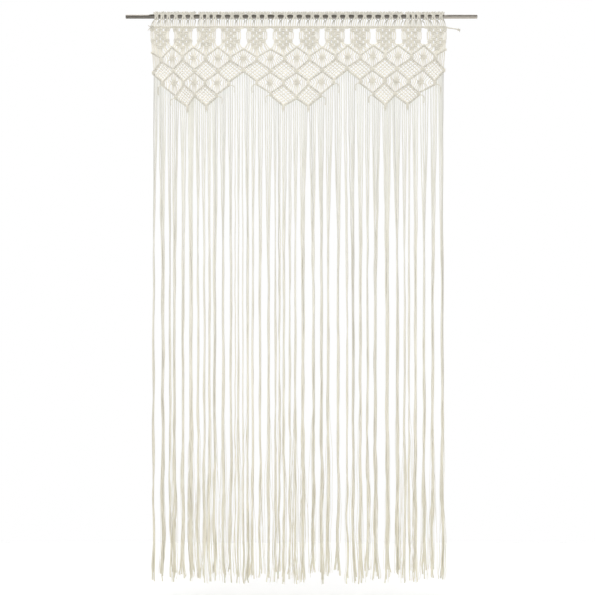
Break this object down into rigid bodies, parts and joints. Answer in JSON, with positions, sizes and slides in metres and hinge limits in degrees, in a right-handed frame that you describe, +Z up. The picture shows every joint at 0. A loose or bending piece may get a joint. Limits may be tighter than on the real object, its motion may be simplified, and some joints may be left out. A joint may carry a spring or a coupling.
{
  "type": "macrame curtain and rod",
  "caption": "Openwork macrame door curtain in natural cotton cord on a plain round rod: knotted shields, a diamond lattice in scallops and a long straight fringe.",
  "frame": {"origin": "on the rod's axis at the middle of its length, where a pair of wall brackets would hold it level", "axes": "+X along the rod to the right as seen from the front, -Y to the front, +Z up; the fringe hangs towards -Z"},
  "size_m": [1.23, 0.0218, 2.0055],
  "materials": {
    "rod_metal": "dull dark pewter grey",
    "cotton_knotted": "matt twisted natural cotton cord, tied in knots",
    "cotton_fringe": "matt twisted natural cotton cord, hanging loose"
  },
  "bodies": {
    "root": {"rod": "rod_metal", "knotted_heading": "cotton_knotted", "fringe_left": "cotton_fringe", "fringe_middle": "cotton_fringe", "fringe_right": "cotton_fringe"}
  },
  "joints": []
}
